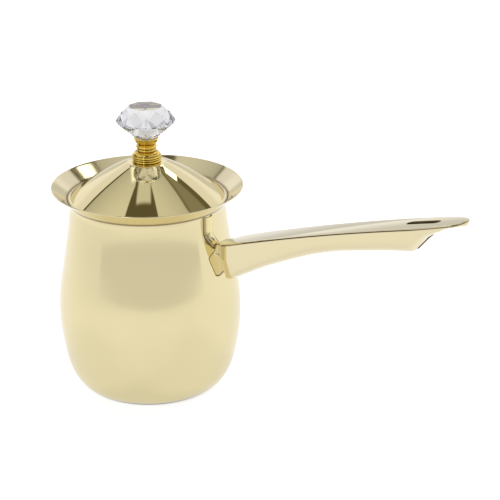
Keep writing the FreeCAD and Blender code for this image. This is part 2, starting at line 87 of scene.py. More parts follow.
def turned(name, profile, segments, loop=False, sharp=None):
    """A turned piece from (radius, height) points. Points on the axis become poles;
    loop joins the last point to the first."""
    verts, rings = [], []
    for r, z in profile:
        if r < 1e-6:
            rings.append([len(verts)] * segments)
            verts.append((0.0, 0.0, z))
            continue
        rings.append(list(range(len(verts), len(verts) + segments)))
        for k in range(segments):
            a = 2 * math.pi * k / segments
            verts.append((r * math.cos(a), r * math.sin(a), z))
    faces = []
    pairs = list(zip(rings[:-1], rings[1:])) + ([(rings[-1], rings[0])] if loop else [])
    for low, high in pairs:
        for k in range(segments):
            j = (k + 1) % segments
            face = [low[k], low[j], high[j], high[k]]
            clean = [v for i, v in enumerate(face) if v != face[i - 1]]
            if len(clean) > 2:
                faces.append(clean)
    return new_object(name, verts, faces, sharp)


def paint_shade(obj, rule):
    """Write the painted shade of each point, 0 to 1, from its place: how far its colour is darkened where shade falls.
    """
    values = [rule(*(c / MM for c in v.co)) for v in obj.data.vertices]
    obj.data.attributes.new("painted_shade", "FLOAT", "POINT").data.foreach_set("value", values)


def bell(x, width):
    return math.exp(-((x / width) ** 2))


# ---------------------------------------------------------------- pot body
# The outer profile is one smooth curve from the base to the neck, then a small
# bend and the straight flare. The inner face is the same line moved in by the
# sheet's thickness.
POLE_Z = (0, 0, 3.5, 11, 22, 35, 50, 65, 80, 92, 101)
POLE_R = (32.498, 36.046, 39.982, 43.791, 46.078, 47.823, 47.659, 44.962, 42.489, 40.519, 40.010)


def smooth_curve(poles, count):
    """Points of the clamped uniform cubic curve with these poles."""
    poles = np.array(poles, float)
    n = len(poles)
    knots = np.concatenate([[0.0] * 3, np.linspace(0, 1, n - 2), [1.0] * 3])
    out = []
    for t in np.linspace(0, 1, count):
        span = min(max(int(np.searchsorted(knots, t, side="right")) - 1, 3), n - 1)
        d = [poles[span - 3 + j].copy() for j in range(4)]
        for r in range(1, 4):
            for j in range(3, r - 1, -1):
                lo, hi = knots[span - 3 + j], knots[span + 1 + j - r]
                w = (t - lo) / (hi - lo)
                d[j] = (1 - w) * d[j - 1] + w * d[j]
        out.append(d[3])
    return np.array(out)


def offset_line(line, by):
    """The line moved to its left by a distance."""
    t = np.gradient(line, axis=0)
    t /= np.hypot(t[:, 0], t[:, 1])[:, None]
    return line + np.stack([-t[:, 1], t[:, 0]], 1) * by


wall = smooth_curve(list(zip(POLE_R, POLE_Z)), 220)
wall = wall[wall[:, 1] < 97.2]
neck = np.array(
    bent([(40.245, 97.459, (40.717, 100.287, 14)), (42.448, 102.574, None), (49.0, 107.88, None)])
)
flare = np.array([neck[-2] + (neck[-1] - neck[-2]) * k / 10 for k in range(1, 11)])
outer = np.concatenate([wall, neck[:-1], flare])
inner = offset_line(outer, 0.6)
edge_mid = (outer[-1] + inner[-1]) / 2
edge_dir = (outer[-1] - outer[-2]) / np.linalg.norm(outer[-1] - outer[-2])
edge_side = (outer[-1] - inner[-1]) / 2
edge = [
    edge_mid + edge_side * math.cos(a) + edge_dir * 0.3 * math.sin(a)
    for a in np.linspace(0, math.pi, 9)[1:-1]
]
profile = [(0.0, 0.0), (16.0, 0.0), (30.0, 0.0)]
profile += [tuple(p) for p in outer] + [tuple(p) for p in edge] + [tuple(p) for p in inner[::-1]]
profile += [(30.0, 0.6), (16.0, 0.6), (0.0, 0.6)]
pot = turned("pot_shell", profile, 320)
# painted shade: the pot is painted dark within a millimetre of the floor as a contact shadow, and in a ring where the
# lid's edge sits in the flare
paint_shade(pot, lambda x, y, z: max(bell(max(z, 0.0), 0.75), 0.8 * bell(math.hypot(x, y) - 41.2, 0.5) * (100.5 < z < 103.5)))
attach(pot, "pot")
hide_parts("pot_body")

# ---------------------------------------------------------------- lid
lid_line = bent(
    [
        (2.300, 121.000, None),
        (9.600, 121.000, (10.130, 120.900, 6)),
        (10.620, 120.640, (25.575, 112.542, 56)),
        (39.300, 102.500, (39.580, 102.320, 5)),
        (39.900, 102.250, None),
        (41.050, 102.250, None),
        (40.650, 101.750, None),
        (39.850, 101.750, (39.380, 101.850, 5)),
        (38.978, 102.117, (25.307, 112.119, 40)),
        (10.412, 120.185, (10.030, 120.420, 5)),
        (9.550, 120.500, None),
        (2.300, 120.500, None),
    ]
)
lid = turned("lid_cone", lid_line, 320, loop=True, sharp=50)
# painted shade: a dark line along the lid's edge where it sits in the flare
paint_shade(lid, lambda x, y, z: 0.9 * bell(math.hypot(x, y) - 41.0, 0.5))
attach(lid, "lid")
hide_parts("lid_shell")

# ---------------------------------------------------------------- knob
stem_line = bent(
    [
        (0.000, 129.500, None),
        (2.000, 129.500, None),
        (2.000, 121.100, None),
        (7.000, 121.100, (7.400, 121.650, 8)),
        (7.150, 122.200, None),
        (6.950, 122.400, (7.450, 122.800, 8)),
        (7.350, 123.330, None),
        (7.120, 123.450, None),
        (7.350, 123.580, (7.420, 124.000, 8)),
        (7.180, 124.600, None),
        (6.900, 124.750, None),
        (6.950, 124.930, (6.350, 125.750, 10)),
        (5.150, 126.450, None),
        (4.700, 126.650, (4.980, 127.200, 8)),
        (4.700, 127.750, None),
        (4.600, 127.950, (5.280, 128.900, 10)),
        (4.600, 129.850, None),
        (4.350, 130.150, None),
        (4.450, 130.450, (5.620, 131.500, 12)),
        (6.120, 132.900, None),
        (6.250, 133.300, (6.120, 133.520, 6)),
        (5.880, 133.480, None),
        (4.800, 132.350, None),
        (0.000, 132.350, None),
    ]
)
stem = turned("knob_turning", stem_line, 160, sharp=45)
# painted shade: dark lines in the grooves between the beads
paint_shade(stem, lambda x, y, z: max(bell(z - g, 0.16) for g in (121.1, 122.3, 123.45, 124.77, 126.55, 127.85, 130.15)))
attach(stem, "knob")
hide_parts("knob_stem")

CRYSTAL = dict(rt=8.6, zt=149.8, rg=15.0, zu=142.7, zl=142.0, rm=12.3, rf=4.4, zf=132.5, rn=9.4, turn=22.5)


def crystal_mesh(name, rt, zt, rg, zu, zl, rm, rf, zf, rn, turn):
    """Eight-sided table, stars, kites and girdle facets above, long facets below."""
    c = math.cos(math.pi / 8)
    zm = zt + (zu - zt) * (rm * c - rt) / (rg - rt)
    zn = zf + (zl - zf) * (rn * c - rf) / (rg - rf)
    verts, index = [], {}

    def at(radius, eighth, z):
        key = (radius, round((eighth % 8) * 2), z)
        if key not in index:
            a = math.radians(turn) + eighth * math.pi / 4
            index[key] = len(verts)
            verts.append((radius * math.cos(a), radius * math.sin(a), z))
        return index[key]

    faces = [[at(rt, k, zt) for k in range(8)], [at(rf, -k, zf) for k in range(8)]]
    for k in range(8):
        star, star0 = at(rm, k + 0.5, zm), at(rm, k - 0.5, zm)
        low, low0 = at(rn, k + 0.5, zn), at(rn, k - 0.5, zn)
        faces += [
            [at(rt, k, zt), star, at(rt, k + 1, zt)],
            [at(rt, k, zt), star0, at(rg, k, zu), star],
            [star, at(rg, k, zu), at(rg, k + 0.5, zu)],
            [star, at(rg, k + 0.5, zu), at(rg, k + 1, zu)],
            [low, at(rg, k + 0.5, zl), at(rg, k, zl)],
            [low, at(rg, k + 1, zl), at(rg, k + 0.5, zl)],
            [at(rf, k, zf), low, at(rg, k, zl), low0],
            [at(rf, k, zf), at(rf, k + 1, zf), low],
        ]
        for j in (0.0, 0.5):
            faces.append(
                [at(rg, k + j, zu), at(rg, k + j, zl), at(rg, k + j + 0.5, zl), at(rg, k + j + 0.5, zu)]
            )
    obj = new_object(name, verts, faces)
    obj.data.polygons.foreach_set("use_smooth", [False] * len(obj.data.polygons))
    return obj


def face_outwards(obj):
    import bmesh

    bm = bmesh.new()
    bm.from_mesh(obj.data)
    bmesh.ops.recalc_face_normals(bm, faces=bm.faces)
    bm.to_mesh(obj.data)
    bm.free()


crystal = crystal_mesh("knob_gem", **CRYSTAL)
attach(crystal, "knob")
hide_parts("knob_crystal")


# ---------------------------------------------------------------- handle
def back(s):
    return 70.0055 + 0.409751 * s - 0.000381808 * s * s


R_ROOT, R_SHOULDER = 2.5, 12.0
A_BEND = math.acos(1.0 - 5.0 / (R_ROOT + R_SHOULDER))
S_ROOT = 52.3
S_JOIN = S_ROOT + R_ROOT * math.sin(A_BEND)
S_FULL = S_ROOT + (R_ROOT + R_SHOULDER) * math.sin(A_BEND)
S_FLANK = 182.0 + 8.0 * math.sin(math.atan2(18.0, 80.0))


def half_width(s):
    """Half of the handle's width at s, its outward normal in plan and a distance
    function from the edge."""
    if s <= S_ROOT:
        return 5.0, (0.0, 1.0), lambda y: 5.0 - y
    if s <= S_JOIN:
        yc = 5.0 + R_ROOT
        w = yc - math.sqrt(R_ROOT**2 - (s - S_ROOT) ** 2)
        return w, ((S_ROOT - s) / R_ROOT, (yc - w) / R_ROOT), lambda y: math.hypot(s - S_ROOT, yc - y) - R_ROOT
    if s <= S_FULL:
        yc = 10.0 - R_SHOULDER
        w = yc + math.sqrt(R_SHOULDER**2 - (S_FULL - s) ** 2)
        return w, ((s - S_FULL) / R_SHOULDER, (w - yc) / R_SHOULDER), lambda y: R_SHOULDER - math.hypot(S_FULL - s, y - yc)
    if s <= 164.0:
        return 10.0, (0.0, 1.0), lambda y: 10.0 - y
    if s <= S_FLANK:
        w = -80.0 + math.sqrt(90.0**2 - (s - 164.0) ** 2)
        return w, ((s - 164.0) / 90.0, (w + 80.0) / 90.0), lambda y: 90.0 - math.hypot(s - 164.0, y + 80.0)
    w = math.sqrt(max(64.0 - (s - 182.0) ** 2, 0.0))
    return w, ((s - 182.0) / 8.0, w / 8.0), lambda y: 8.0 - math.hypot(s - 182.0, y)


# The rolled-in underside: (distance from the pot's axis, lowest line, height of the
# roll). It rises steeply before the tip and closes to a tongue.
UNDER = np.array(
    [
        (40.0, 62.2, 2.8),
        (55.0, 70.48, 3.2),
        (62.0, 73.98, 3.4),
        (70.0, 78.58, 3.8),
        (80.0, 84.37, 4.4),
        (95.0, 91.88, 5.2),
        (110.0, 98.79, 6.0),
        (125.0, 104.27, 6.6),
        (140.0, 108.34, 7.4),
        (155.0, 112.12, 8.0),
        (163.5, 113.99, 8.0),
        (165.0, 114.39, 7.8),
        (167.0, 116.68, 6.8),
        (169.0, 119.05, 6.2),
        (171.0, 121.39, 5.2),
        (173.5, 123.84, 3.6),
        (176.5, 125.70, 2.6),
        (180.0, 127.71, 1.7),
        (184.0, 130.35, 1.3),
        (195.0, 132.81, 1.3),
    ]
)


def flowing(xs, ys, x):
    """A smooth curve through the points that never overshoots them, at x."""
    step_x, rise = np.diff(xs), np.diff(ys) / np.diff(xs)
    m = np.zeros(len(xs))
    m[0], m[-1] = rise[0], rise[-1]
    for k in range(1, len(xs) - 1):
        if rise[k - 1] * rise[k] > 0:
            wa, wb = 2 * step_x[k] + step_x[k - 1], step_x[k] + 2 * step_x[k - 1]
            m[k] = (wa + wb) / (wa / rise[k - 1] + wb / rise[k])
    i = int(min(max(np.searchsorted(xs, x) - 1, 0), len(xs) - 2))
    h = step_x[i]
    t = (x - xs[i]) / h
    return float(
        (2 * t**3 - 3 * t**2 + 1) * ys[i]
        + (t**3 - 2 * t**2 + t) * h * m[i]
        + (3 * t**2 - 2 * t**3) * ys[i + 1]
        + (t**3 - t**2) * h * m[i + 1]
    )


def ease(x, a, b):
    t = min(max((x - a) / (b - a), 0.0), 1.0)
    return t * t * (3 - 2 * t)


def edge_round(s):
    return 1.1 - 0.3 * ease(s, 166.0, 184.0)


def slot_half(s):
    """Half width of the hanging slot at s."""
    if 159.5 < s < 176.6:
        if s < 162.0:
            return math.sqrt(max(6.25 - (s - 162.0) ** 2, 0.0))
        if s > 174.1:
            return math.sqrt(max(6.25 - (s - 174.1) ** 2, 0.0))
        return 2.5
    return 0.0


def seam_half(s):
    """Half of the gap underneath: a narrow seam, the slot's width where the underside
    has risen to it, and nothing in the tongue."""
    if s > 172.0:
        return slot_half(s)
    return 1.4 + 1.1 * ease(s, 170.6, 172.0)


def wall_out(s, z):
    """Where the side wall stands at (s, z): the shoulder leans, and a small crimp is
    pressed into the root."""
    w = half_width(s - 0.35 * max(84.6 - z, 0.0))[0]
    d = math.hypot(s - 51.7, z - 86.1)
    low = ease(86.1 - z, 0.2, 0.9)
    return w - 0.42 * low * math.exp(-(((d - 1.45) / 0.38) ** 2))


SIDE = bent(
    [
        (50.900, 95.350, None),
        (193.000, 141.000, None),
        (193.000, 122.000, None),
        (164.500, 110.000, None),
        (140.000, 104.500, None),
        (110.000, 94.500, None),
        (80.000, 79.500, None),
        (66.000, 72.500, None),
        (60.000, 72.500, None),
        (58.500, 75.700, None),
        (55.500, 76.000, None),
        (53.000, 73.200, (52.000, 72.650, 5)),
        (50.400, 72.700, None),
        (46.000, 79.900, (45.850, 80.600, 5)),
        (46.000, 81.300, None),
        (49.600, 85.900, (49.950, 86.600, 4)),
        (50.000, 87.300, None),
        (50.900, 95.350, None),
    ]
)[:-1]


def handle_mesh(name):
    """Half of the sheet's outer face from the ridge to the seam underneath, station by
    station, mirrored, thickened inwards and cut to the side outline."""
    stations = list(np.linspace(44.0, 54.5, 43))
    stations += list(np.linspace(54.5, 66.0, 32)[1:]) + list(np.linspace(66.0, 158.0, 70)[1:])
    stations += [158.8]
    stations += [162.0 - 2.5 * math.cos(a) for a in np.linspace(0, math.pi / 2, 10)]
    stations += list(np.linspace(162.0, 174.1, 30)[1:])
    stations += [174.1 + 2.5 * math.sin(a) for a in np.linspace(0, math.pi / 2, 10)[1:]]
    stations += [177.4, 178.6, 180.0, 181.4]
    stations += [182.0 + 8.0 * math.sin(a) for a in np.linspace(0, math.pi / 2, 22)]
    stations = sorted(set(round(s, 4) for s in stations))
    n_in, n_edge, n_side, n_roll = 10, 9, 44, 14
    rows = []
    for s in stations:
        w, normal, depth = half_width(s)
        r = edge_round(s)
        y0 = slot_half(s)
        crown = 0.2 * w / 10.0
        zone = min(r / max(normal[1], 0.35), 0.6 * (w - y0)) if w > y0 else 0.0
        ys = [y0 + (w - zone - y0) * k / n_in for k in range(n_in)]
        ys += [w - zone + zone * math.sin(math.pi / 2 * k / n_edge) for k in range(n_edge + 1)]
        row = []
        top = back(s)
        for y in ys:
            d = min(max(depth(y), 0.0), r)
            drop = r - math.sqrt(max(r * r - (r - d) ** 2, 0.0))
            row.append((s, y, top - crown * (y / w) ** 2 - drop if w > 1e-6 else top - r))
        z_e = row[-1][2]
        low, roll = flowing(UNDER[:, 0], UNDER[:, 1], s), flowing(UNDER[:, 0], UNDER[:, 2], s)
        roll = min(roll, max(z_e - low - 0.15, 0.1))
        gap = seam_half(s)
        w_b = w
        for _ in range(3):
            h = roll * min(max((w_b - gap) / 3.0, 0.0), 1.0)
            w_b = wall_out(s, low + h) if s < 80.0 else w
        for k in range(1, n_side + 1):
            z = z_e + (low + h - z_e) * k / n_side
            row.append((s, wall_out(s, z) if s < 80.0 else w, z))
        inset = max(w_b - gap, 0.0)
        for k in range(1, n_roll + 1):
            a = math.pi / 2 * k / n_roll
            row.append((s, w_b - inset * (1.0 - math.cos(a)), low + h * (1.0 - math.sin(a))))
        rows.append(row)
    verts, faces = [], []
    count = len(rows[0])
    for sign in (1.0, -1.0):
        base = len(verts)
        for row in rows:
            verts += [(x, sign * y, z) for x, y, z in row]
        for i in range(len(rows) - 1):
            for k in range(count - 1):
                a = base + i * count + k
                quad = [a, a + 1, a + 1 + count, a + count]
                faces.append(quad if sign < 0 else quad[::-1])
    obj = new_object(name, verts, faces)
    import bmesh

    bm = bmesh.new()
    bm.from_mesh(obj.data)
    bmesh.ops.remove_doubles(bm, verts=bm.verts, dist=2e-6)
    bmesh.ops.dissolve_degenerate(bm, edges=bm.edges, dist=1e-6)
    bmesh.ops.recalc_face_normals(bm, faces=bm.faces)
    top_face = max(bm.faces, key=lambda f: f.calc_center_median().z)
    if top_face.normal.z < 0:
        bmesh.ops.reverse_faces(bm, faces=bm.faces)
    bm.to_mesh(obj.data)
    bm.free()
    # the cutter: the side outline as a plate, wider than the handle
    n = len(SIDE)
    plate = new_object(
        "side_cut",
        [(s, y, z) for y in (-14.0, 14.0) for s, z in SIDE],
        [list(range(n)), list(range(2 * n - 1, n - 1, -1))]
        + [[(k + 1) % n, k, n + k, n + (k + 1) % n] for k in range(n)],
    )
    face_outwards(plate)
    # faces left by a cut carry the second index and the inner faces the third, so that
    # they can be told apart
    for piece in (obj, plate):
        for label in ("sheet_face", "sheet_edge", "sheet_inside"):
            piece.data.materials.append(bpy.data.materials.get(label) or bpy.data.materials.new(label))
    plate.data.polygons.foreach_set("material_index", [1] * len(plate.data.polygons))
    solid = obj.modifiers.new("sheet", "SOLIDIFY")
    solid.thickness = 0.8 * MM
    solid.offset = -1.0
    solid.use_even_offset = True
    solid.material_offset = 2
    solid.material_offset_rim = 1
    trim = obj.modifiers.new("outline", "BOOLEAN")
    trim.operation = "INTERSECT"
    trim.solver = "EXACT"
    trim.object = plate
    bpy.context.view_layer.update()
    made = bpy.data.meshes.new_from_object(obj.evaluated_get(bpy.context.evaluated_depsgraph_get()))
    obj.modifiers.clear()
    obj.data = made
    bpy.data.objects.remove(plate)
    edge_share = [1.0 if p.material_index == 1 else 0.0 for p in made.polygons]
    inside_share = [1.0 if p.material_index == 2 else 0.0 for p in made.polygons]
    made.attributes.new("cut_edge", "FLOAT", "FACE").data.foreach_set("value", edge_share)
    made.attributes.new("inside", "FLOAT", "FACE").data.foreach_set("value", inside_share)
    made.polygons.foreach_set("material_index", [0] * len(made.polygons))
    made.polygons.foreach_set("use_smooth", [True] * len(made.polygons))
    made.set_sharp_from_angle(angle=math.radians(38))
    return obj


handle = handle_mesh("handle_sheet")
ROOT_LINE = [(56.2, 75.9), (55.5, 76.0), (53.0, 73.2), (50.4, 72.7), (46.0, 79.9), (46.0, 81.3), (49.6, 85.9), (50.0, 87.3), (50.9, 95.35)]


def root_shade(x, y, z):
    """Painted shade, 0 to 1: 1 on the front outline of the root, where it meets the bracket, falling off within a
    millimetre, and most of it along the fold between the back and the sides, as a painted dark reflection."""
    w, _, depth = half_width(x)
    r = edge_round(x)
    fold_shade = 0.0
    if depth(abs(y)) < 0.45:
        fold_shade = 0.8 * bell(back(x) - z - 0.02 * w - 0.66 * r, 0.26) * ease(x, 53.0, 58.0)
    if x > 58.0:
        return fold_shade
    near = 9.0
    for (ax, az), (bx, bz) in zip(ROOT_LINE[:-1], ROOT_LINE[1:]):
        ex, ez = bx - ax, bz - az
        w = min(max(((x - ax) * ex + (z - az) * ez) / (ex * ex + ez * ez), 0.0), 1.0)
        near = min(near, math.hypot(x - ax - w * ex, z - az - w * ez))
    return max(fold_shade, bell(near, 0.5 + 0.45 * ease(z, 86.5, 88.5)))


paint_shade(handle, root_shade)
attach(handle, "pot")
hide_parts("handle")


# ---------------------------------------------------------------- handle bracket
def bracket_mesh(name):
    """A half-round strap: down the neck, out into the handle and on as a flat tongue
    under its back. Two cheeks stand below the bend."""
    stations = [(42.8, z, 1.0, 0.0, 4.1, 2.1) for z in np.linspace(100.6, 93.7, 14)]
    bend = len(stations) - 1
    turns = np.radians(np.linspace(180.0, 290.0, 36))
    for a in turns[1:]:
        c, s = math.cos(a), math.sin(a)
        stations.append((48.3 + 5.5 * c, 93.7 + 5.5 * s, -c, -s, 4.1, 2.1))
    for x in np.linspace(51.2, 80.0, 24):
        flat = ease(x, 50.2, 53.5)
        lean = math.hypot(1.0, 0.37)
        stations.append((x, back(x) - 1.05, -0.37 / lean, 1.0 / lean, 4.1 - 1.1 * flat, 2.1 - 2.0 * flat))
    # half of the cross-section: a round ridge, a groove and a flat foot; the third value is painted shade, dark bands
    # on the ridge's flanks as a painted reflection, darkest in the groove
    ridge = [
        (0.70 * math.sin(f), 0.90 * (1.0 - math.cos(f)), 0.6 * ease(f, 0.6, 1.2))
        for f in np.radians(np.linspace(0.0, 74.0, 12))
    ]
    ridge += [(0.72, 0.84, 0.8), (0.75, 0.94, 0.95), (0.80, 0.99, 0.7), (0.88, 1.0, 0.25), (1.0, 1.0, 0.1)]
    across = [(-y, d, c) for y, d, c in ridge[:0:-1]] + ridge
    verts, faces, depth = [], [], []
    for x, z, nx, nz, half, rise in stations:
        for y, d, c in across:
            verts.append((x - nx * rise * d, half * y, z - nz * rise * d))
            depth.append(c)
    n = len(across)
    for i in range(len(stations) - 1):
        for k in range(n - 1):
            a = i * n + k
            faces.append([a, a + 1, a + 1 + n, a + n])
    foot = [(40.6, 93.72), (41.15, 90.4), (43.9, 83.0), (45.9, 80.2)]
    for sign, column in ((-1.0, 0), (1.0, n - 1)):
        base = len(verts)
        for j, a in enumerate(turns):
            x0, _, z0 = verts[(bend + j) * n + column]
            c, s = math.cos(a), math.sin(a)
            if a > math.radians(270.0):
                end = (48.3 + 2.7 * (math.degrees(a) - 270.0) / 20.0, 80.2)
            else:
                reach = (93.7 - 80.2) / max(-s, 1e-3)
                for (ax, az), (bx, bz) in zip(foot[:-1], foot[1:]):
                    ex, ez = bx - ax, bz - az
                    det = c * ez - s * ex
                    far = ((ax - 48.3) * ez - (az - 93.7) * ex) / det
                    on = ((ax - 48.3) * s - (az - 93.7) * c) / det
                    if -0.05 <= on <= 1.05 and far > 0:
                        reach = min(reach, far)
                reach = max(reach, 7.9)
                end = (48.3 + reach * c, 93.7 + reach * s)
            for k in range(7):
                w = k / 6.0
                verts.append((x0 + (end[0] - x0) * w, sign * 4.1, z0 + (end[1] - z0) * w))
                # the cheeks get a faint painted shade
                depth.append(0.1)
        for j in range(len(turns) - 1):
            for k in range(6):
                a = base + j * 7 + k
                faces.append([a, a + 1, a + 8, a + 7])
    obj = new_object(name, verts, faces)
    obj.data.attributes.new("painted_shade", "FLOAT", "POINT").data.foreach_set("value", depth)
    import bmesh

    bm = bmesh.new()
    bm.from_mesh(obj.data)
    bmesh.ops.remove_doubles(bm, verts=bm.verts, dist=2e-6)
    bmesh.ops.recalc_face_normals(bm, faces=bm.faces)
    first = max(bm.faces, key=lambda f: f.calc_center_median().z - abs(f.calc_center_median().y))
    if first.normal.x < 0:
        bmesh.ops.reverse_faces(bm, faces=bm.faces)
    bm.to_mesh(obj.data)
    bm.free()
    solid = obj.modifiers.new("sheet", "SOLIDIFY")
    solid.thickness = 0.9 * MM
    solid.offset = -1.0
    bpy.context.view_layer.update()
    made = bpy.data.meshes.new_from_object(obj.evaluated_get(bpy.context.evaluated_depsgraph_get()))
    obj.modifiers.clear()
    obj.data = made
    made.polygons.foreach_set("use_smooth", [True] * len(made.polygons))
    made.set_sharp_from_angle(angle=math.radians(50))
    return obj


bracket = bracket_mesh("bracket_strap")
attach(bracket, "pot")
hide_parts("handle_bracket")


# ---------------------------------------------------------------- materials
def material(name):
    mat = bpy.data.materials.new(name)
    mat.use_nodes = True
    tree = mat.node_tree
    shader = next(n for n in tree.nodes if n.type == "BSDF_PRINCIPLED")
    return mat, tree, shader


def node(tree, kind, **values):
    n = tree.nodes.new(kind)
    for key, value in values.items():
        if key.startswith("in_"):
            name = key[3:]
            n.inputs[int(name) if name.isdigit() else name].default_value = value
        else:
            setattr(n, key, value)
    return n


def plated(name, light, dark, rough_low, rough_high, grain, bump):
    """Plated sheet metal: a faint drift of the plating's colour, and fine turning lines that
    roughen it. Painted shade: a cut edge of the sheet is painted darker, and so is each point by its
    painted shade value; the sheet's inside is painted nearly black, as the shade in its hollow."""
    mat, tree, shader = material(name)
    link = tree.links.new
    place = node(tree, "ShaderNodeTexCoord")
    drift = node(tree, "ShaderNodeTexNoise", in_Scale=18.0, in_Detail=2.0)
    link(place.outputs["Object"], drift.inputs["Vector"])
    tint = node(tree, "ShaderNodeMix", data_type="RGBA")
    tint.inputs["A"].default_value = (*light, 1.0)
    tint.inputs["B"].default_value = (*dark, 1.0)
    link(drift.outputs["Fac"], tint.inputs["Factor"])
    # painted shade: the sheet's cut edges painted dark, as they look in shade and dark reflection
    cut = node(tree, "ShaderNodeAttribute", attribute_name="cut_edge")
    edge = node(tree, "ShaderNodeMix", data_type="RGBA")
    edge.inputs["B"].default_value = (0.07, 0.045, 0.016, 1.0)
    link(cut.outputs["Fac"], edge.inputs["Factor"])
    link(tint.outputs["Result"], edge.inputs["A"])
    # painted shade: darker where a point's painted shade value is high
    deep = node(tree, "ShaderNodeAttribute", attribute_name="painted_shade")
    shade_paint = node(tree, "ShaderNodeMix", data_type="RGBA")
    shade_paint.inputs["B"].default_value = (0.13, 0.075, 0.02, 1.0)
    link(deep.outputs["Fac"], shade_paint.inputs["Factor"])
    link(edge.outputs["Result"], shade_paint.inputs["A"])
    # painted shade: the sheet's inside painted nearly black, the shade in the hollow handle
    inner = node(tree, "ShaderNodeAttribute", attribute_name="inside")
    inside_shade = node(tree, "ShaderNodeMix", data_type="RGBA")
    inside_shade.inputs["B"].default_value = (0.022, 0.015, 0.006, 1.0)
    link(inner.outputs["Fac"], inside_shade.inputs["Factor"])
    link(shade_paint.outputs["Result"], inside_shade.inputs["A"])
    link(inside_shade.outputs["Result"], shader.inputs["Base Color"])
    squeeze = node(tree, "ShaderNodeMapping")
    squeeze.inputs["Scale"].default_value = grain
    link(place.outputs["Object"], squeeze.inputs["Vector"])
    lines = node(tree, "ShaderNodeTexNoise", in_Scale=1.0, in_Detail=3.0)
    link(squeeze.outputs["Vector"], lines.inputs["Vector"])
    rough = node(tree, "ShaderNodeMapRange")
    rough.inputs["To Min"].default_value = rough_low
    rough.inputs["To Max"].default_value = rough_high
    link(lines.outputs["Fac"], rough.inputs["Value"])
    link(rough.outputs["Result"], shader.inputs["Roughness"])
    if bump:
        relief = node(tree, "ShaderNodeBump", in_Strength=bump, in_Distance=0.00002)
        link(lines.outputs["Fac"], relief.inputs["Height"])
        link(relief.outputs["Normal"], shader.inputs["Normal"])
    shader.inputs["Metallic"].default_value = 1.0
    return mat


SATIN = plated("satin_gold", (0.795, 0.705, 0.435), (0.78, 0.685, 0.405), 0.10, 0.13, (30, 30, 2600), 0.0)
PALE = plated("pale_gold", (0.80, 0.71, 0.464), (0.78, 0.688, 0.436), 0.03, 0.06, (60, 60, 900), 0.0)
POLISH = plated("polished_gold", (0.84, 0.735, 0.40), (0.82, 0.71, 0.37), 0.03, 0.06, (60, 60, 900), 0.0)
BRASS = plated("plated_brass", (0.86, 0.62, 0.13), (0.82, 0.57, 0.11), 0.03, 0.07, (60, 60, 2000), 0.0)
STEEL = plated("plain_steel", (0.60, 0.60, 0.61), (0.52, 0.52, 0.53), 0.28, 0.4, (900, 900, 900), 0.0)


def cut_glass(name):
    mat, tree, shader = material(name)
    link = tree.links.new
    place = node(tree, "ShaderNodeTexCoord")
    cloud = node(tree, "ShaderNodeTexNoise", in_Scale=160.0, in_Detail=1.0)
    link(place.outputs["Object"], cloud.inputs["Vector"])
    tint = node(tree, "ShaderNodeMix", data_type="RGBA")
    tint.inputs["A"].default_value = (0.90, 0.90, 0.905, 1.0)
    tint.inputs["B"].default_value = (0.84, 0.84, 0.85, 1.0)
    link(cloud.outputs["Fac"], tint.inputs["Factor"])
    link(tint.outputs["Result"], shader.inputs["Base Color"])
    shader.inputs["Transmission Weight"].default_value = 0.92
    shader.inputs["IOR"].default_value = 1.54
    shader.inputs["Roughness"].default_value = 0.02
    return mat


GLASS = cut_glass("crystal")


def dress(obj, mat):
    obj.data.materials.clear()
    obj.data.materials.append(mat)


looks = ((pot, SATIN), (lid, POLISH), (stem, BRASS), (crystal, GLASS), (handle, PALE), (bracket, POLISH))
for obj, mat in looks:
    dress(obj, mat)
for name, mat in (("knob_screw", STEEL), ("knob_washer", STEEL)):
    dress(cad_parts[name], mat)
for obj in (pot, lid, stem, crystal):
    face_outwards(obj)
# the satin wall shows no mirror image of the handle
for obj in (handle, bracket):
    obj.visible_glossy = False

# ---------------------------------------------------------------- stage and light
# A light tent: white walls, a dimmer roof with a slit, a lamp behind the right-hand
# seam, an open front, and a white paper floor.
RIGHT = (0.76604, 0.64279, 0.0)
AWAY = (-0.64279, 0.76604, 0.0)


def to_row(x, y, z):
    """A point of the studio (right, away, up from the pot, metres) in the row frame."""
    return (x * RIGHT[0] + y * AWAY[0], x * RIGHT[1] + y * AWAY[1], z)


def card(name, corners):
    mesh = bpy.data.meshes.new(name)
    mesh.from_pydata([to_row(*c) for c in corners], [], [tuple(range(len(corners)))])
    obj = bpy.data.objects.new(name, mesh)
    bpy.context.scene.collection.objects.link(obj)
    return obj


